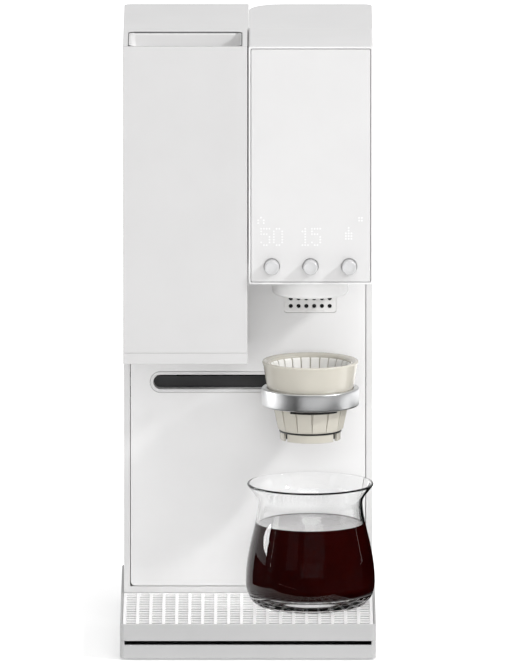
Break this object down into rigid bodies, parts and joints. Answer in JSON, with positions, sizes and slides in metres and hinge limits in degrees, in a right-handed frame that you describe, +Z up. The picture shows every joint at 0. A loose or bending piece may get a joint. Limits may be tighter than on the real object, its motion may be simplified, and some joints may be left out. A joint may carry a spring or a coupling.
{
  "type": "automatic pour-over coffee maker",
  "caption": "Automatic pour-over coffee maker: grinder box and brew head over a bay, a ring arm that carries the dripper along a slot, and a glass carafe on a drip tray.",
  "frame": {"origin": "middle of the underside of the feet", "axes": "+Z up, +X to the right seen from the front, -Y towards the front"},
  "size_m": [0.18, 0.234, 0.431],
  "materials": {
    "shell_white": "fine satin",
    "panel_white": "satin",
    "base_grey": "fine satin",
    "grate_white": "satin",
    "dark_plastic": "satin",
    "black_plastic": "matte",
    "dripper_cream": "gloss",
    "aluminium_satin": "satin, bead blasted",
    "knob_silver": "satin",
    "steel": "brushed",
    "gear_brass": "machined",
    "rubber_dark": "matte",
    "carafe_glass": "clear",
    "tank_clear": "clear, lightly tinted",
    "board_green": "solder mask"
  },
  "bodies": {
    "machine": {"base_pan": "base_grey", "feet": "rubber_dark", "scale_platform": "dark_plastic", "load_cell": "aluminium_satin", "rear_deck": "base_grey", "column_shell": "shell_white", "bay_panel": "panel_white", "slot_trim": "shell_white", "slot_back": "dark_plastic", "vent_plate": "panel_white", "fan_frame": "black_plastic", "back_cover": "shell_white", "cover_screws": "steel", "power_inlet": "black_plastic", "main_board": "board_green", "power_supply": "steel", "tank_seat": "black_plastic", "tank_seal": "rubber_dark", "pump": "dark_plastic", "heater": "steel", "hoses": "rubber_dark", "grinder_housing": "shell_white", "grinder_front": "panel_white", "lower_band": "shell_white", "hopper": "shell_white", "burr_spider": "aluminium_satin", "inner_burr": "steel", "burr_case": "dark_plastic", "burr_frame": "aluminium_satin", "grinder_motor": "steel", "grounds_chute": "dark_plastic", "head_housing": "shell_white", "fascia": "panel_white", "display_board": "board_green", "encoders": "dark_plastic", "spout_housing": "shell_white", "spout_motor": "steel", "guide_rods": "steel", "carriage_motor": "dark_plastic"},
    "drip_tray": {"drip_tray": "base_grey"},
    "drip_grate": {"drip_grate": "grate_white"},
    "carafe": {"carafe": "carafe_glass"},
    "ring_carriage": {"ring_arm": "aluminium_satin", "carriage": "dark_plastic"},
    "dripper": {"dripper": "dripper_cream"},
    "lead_screw": {"lead_screw": "steel"},
    "plunger_left": {"plunger_left": "steel"},
    "plunger_middle": {"plunger_middle": "steel"},
    "plunger_right": {"plunger_right": "steel"},
    "knob_left": {"knob_left": "knob_silver"},
    "knob_middle": {"knob_middle": "knob_silver"},
    "knob_right": {"knob_right": "knob_silver"},
    "spout_rotor": {"spout_rotor": "aluminium_satin"},
    "fan_rotor": {"fan_rotor": "black_plastic"},
    "burr_carrier": {"burr_carrier": "gear_brass", "outer_burr": "steel"},
    "motor_pinion": {"motor_pinion": "gear_brass"},
    "water_tank": {"water_tank": "tank_clear"},
    "tank_lid": {"tank_lid": "shell_white"}
  },
  "joints": [
    {"name": "tray_slide", "type": "slide", "parent": "machine", "child": "drip_tray", "axis": [0, -1, 0], "range_m": [0, 0.13]},
    {"name": "grate_lift", "type": "slide", "parent": "drip_tray", "child": "drip_grate", "axis": [0, 0, 1], "range_m": [0, 0.03]},
    {"name": "carafe_slide", "type": "slide", "parent": "drip_grate", "child": "carafe", "axis": [0, -1, 0], "range_m": [0, 0.13]},
    {"name": "carriage_slide", "type": "slide", "parent": "machine", "child": "ring_carriage", "axis": [1, 0, 0], "range_m": [-0.088, 0]},
    {"name": "screw_spin", "type": "hinge", "parent": "machine", "child": "lead_screw", "pos_m": [0, 0.0385, 0.1677], "axis": [1, 0, 0], "range_deg": [-3961, 1]},
    {"name": "dripper_lift", "type": "slide", "parent": "ring_carriage", "child": "dripper", "axis": [0, 0, 1], "range_m": [0, 0.04]},
    {"name": "tank_lift", "type": "slide", "parent": "machine", "child": "water_tank", "axis": [0, 0, 1], "range_m": [0, 0.15]},
    {"name": "lid_lift", "type": "slide", "parent": "water_tank", "child": "tank_lid", "axis": [0, 0, 1], "range_m": [0, 0.05]},
    {"name": "push_left", "type": "slide", "parent": "machine", "child": "plunger_left", "axis": [0, 1, 0], "range_m": [0, 0.0008], "stiffness_N_per_m": 1500},
    {"name": "turn_left", "type": "hinge", "parent": "plunger_left", "child": "knob_left", "pos_m": [0.0168, -0.075, 0.2745], "axis": [0, -1, 0], "continuous": true},
    {"name": "push_middle", "type": "slide", "parent": "machine", "child": "plunger_middle", "axis": [0, 1, 0], "range_m": [0, 0.0008], "stiffness_N_per_m": 1500},
    {"name": "turn_middle", "type": "hinge", "parent": "plunger_middle", "child": "knob_middle", "pos_m": [0.044, -0.075, 0.2745], "axis": [0, -1, 0], "continuous": true},
    {"name": "push_right", "type": "slide", "parent": "machine", "child": "plunger_right", "axis": [0, 1, 0], "range_m": [0, 0.0008], "stiffness_N_per_m": 1500},
    {"name": "turn_right", "type": "hinge", "parent": "plunger_right", "child": "knob_right", "pos_m": [0.0712, -0.075, 0.2745], "axis": [0, -1, 0], "continuous": true},
    {"name": "spout_spin", "type": "hinge", "parent": "machine", "child": "spout_rotor", "pos_m": [0.044, -0.041, 0.2615], "axis": [0, 0, 1], "continuous": true},
    {"name": "fan_spin", "type": "hinge", "parent": "machine", "child": "fan_rotor", "pos_m": [0.044, 0.015, 0.2375], "axis": [0, 1, 0], "continuous": true},
    {"name": "burr_spin", "type": "hinge", "parent": "machine", "child": "burr_carrier", "pos_m": [-0.044, -0.041, 0.326], "axis": [0, 0, 1], "continuous": true},
    {"name": "pinion_spin", "type": "hinge", "parent": "machine", "child": "motor_pinion", "pos_m": [-0.06953, -0.01547, 0.326], "axis": [0, 0, 1], "continuous": true}
  ],
  "couplings": [
    {"joint": "screw_spin", "follows": "carriage_slide", "rad_per_m": 785.4},
    {"joint": "pinion_spin", "follows": "burr_spin", "ratio": -3}
  ]
}
